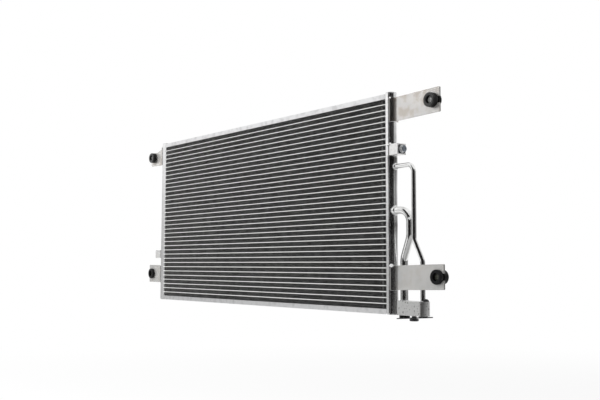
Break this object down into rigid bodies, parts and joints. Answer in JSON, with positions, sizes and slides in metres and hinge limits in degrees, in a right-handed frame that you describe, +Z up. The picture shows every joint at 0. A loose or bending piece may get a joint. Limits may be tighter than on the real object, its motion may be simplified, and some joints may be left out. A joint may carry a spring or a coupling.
{
  "type": "air conditioning condenser",
  "caption": "Parallel-flow car air conditioning condenser: flat tubes and fins between two headers, with bushed ears, pipes and a capped connector block.",
  "frame": {"origin": "on the axis of the lower right bushing's bore, at the middle of the core's depth", "axes": "+X along the tubes towards the header with the pipes, +Y through the core from its front to its back, +Z up along the headers"},
  "size_m": [0.9221, 0.0293, 0.368],
  "materials": {
    "tube": "mill",
    "fin": "matt, in its own shadow",
    "header": "brazed, satin",
    "side_plate": "mill",
    "bracket": "brazed, mottled",
    "pipe": "drawn, bright",
    "block": "speckled",
    "weld": "bright bead",
    "bushing": "moulded, satin",
    "sleeve": "plated",
    "bolt": "zinc plated, bluish",
    "cover": "black coat",
    "cover_nut": "dark phosphate",
    "plug": "matt"
  },
  "bodies": {
    "root": {"baffle": "header", "bolt_bracket": "bracket", "bracket_bolt": "bolt", "bracket_lower_left": "bracket", "bracket_lower_right": "bracket", "bracket_upper_left": "bracket", "bracket_upper_right": "bracket", "bushing_lower_left": "bushing", "bushing_lower_right": "bushing", "bushing_upper_left": "bushing", "bushing_upper_right": "bushing", "collar_gas": "pipe", "collar_liquid": "pipe", "connector_block": "block", "cover_nut": "cover_nut", "cover_stud": "cover_nut", "drilling_plug": "plug", "end_cap_bottom_left": "header", "end_cap_bottom_right": "header", "end_cap_top_left": "header", "end_cap_top_right": "header", "fins_gas_pass": "fin", "fins_liquid_pass": "fin", "header_plate_left": "header", "header_plate_right": "header", "header_tank_left": "header", "header_tank_right": "header", "locating_tab": "bracket", "pipe_gas": "pipe", "pipe_liquid": "pipe", "pipe_tie": "weld", "plug_gas": "plug", "plug_liquid": "plug", "shipping_cover": "cover", "side_plate_bottom": "side_plate", "side_plate_top": "side_plate", "sleeve_lower_left": "sleeve", "sleeve_lower_right": "sleeve", "sleeve_upper_left": "sleeve", "sleeve_upper_right": "sleeve", "tack_weld_bolt_bracket": "weld", "tack_weld_lower_left": "weld", "tack_weld_lower_right": "weld", "tack_weld_upper_left": "weld", "tack_weld_upper_right": "weld", "tubes_gas_pass": "tube", "tubes_liquid_pass": "tube"}
  },
  "joints": []
}
